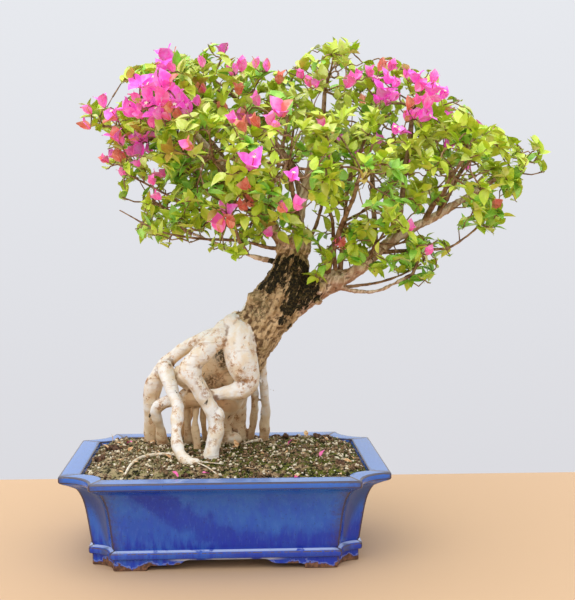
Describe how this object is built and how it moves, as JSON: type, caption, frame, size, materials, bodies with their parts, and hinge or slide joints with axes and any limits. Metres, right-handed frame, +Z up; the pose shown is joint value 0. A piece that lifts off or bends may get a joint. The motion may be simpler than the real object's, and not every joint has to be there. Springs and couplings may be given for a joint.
{
  "type": "bougainvillea bonsai in a pot",
  "caption": "Flowering bonsai with exposed roots, a leaning trunk, spreading boughs and leafy masses, standing in a notched rectangular glazed pot.",
  "frame": {"origin": "under the middle of the whole plant as seen from above, on the surface that the pot stands on", "axes": "+Z up, +X to the right along the long side of the pot towards the long bough, -Y the front"},
  "size_m": [0.6476, 0.4328, 0.6834],
  "materials": {
    "blue_glaze": "glossy mottled blue glaze over stoneware",
    "mossy_soil": "rough moss and granular soil",
    "trunk_bark": "rough bark with dark lichen",
    "root_bark": "smooth pale bark with tan flakes",
    "bough_bark": "brown bark",
    "foliage": "soft leaves and papery bracts"
  },
  "bodies": {
    "root": {"bough_left": "bough_bark", "bough_low_left": "bough_bark", "bough_low_right": "bough_bark", "bough_right": "bough_bark", "bough_top": "bough_bark", "branch_centre_low": "bough_bark", "branch_inner_back": "bough_bark", "branch_inner_front": "bough_bark", "branch_left_back": "bough_bark", "branch_left_tip": "bough_bark", "branch_middle_back": "bough_bark", "branch_middle_front": "bough_bark", "branch_right_back": "bough_bark", "branch_right_centre_low": "bough_bark", "branch_right_front": "bough_bark", "branch_right_inner_back": "bough_bark", "branch_right_inner_front": "bough_bark", "branch_top_left": "bough_bark", "branch_top_right": "bough_bark", "foliage_centre_low": "foliage", "foliage_inner_back": "foliage", "foliage_inner_front": "foliage", "foliage_left_back": "foliage", "foliage_left_front": "foliage", "foliage_left_low": "foliage", "foliage_left_tip": "foliage", "foliage_middle_back": "foliage", "foliage_middle_front": "foliage", "foliage_right_back": "foliage", "foliage_right_centre_low": "foliage", "foliage_right_front": "foliage", "foliage_right_inner_back": "foliage", "foliage_right_inner_front": "foliage", "foliage_right_low": "foliage", "foliage_right_tip": "foliage", "foliage_top_left": "foliage", "foliage_top_middle": "foliage", "foliage_top_right": "foliage", "pot": "blue_glaze", "root_bulb": "root_bark", "root_cross": "root_bark", "root_elbow": "root_bark", "root_front_left": "root_bark", "root_hook": "root_bark", "root_inner": "root_bark", "root_left_arch": "root_bark", "root_rough": "root_bark", "root_slim": "root_bark", "soil": "mossy_soil", "trunk": "trunk_bark"}
  },
  "joints": []
}
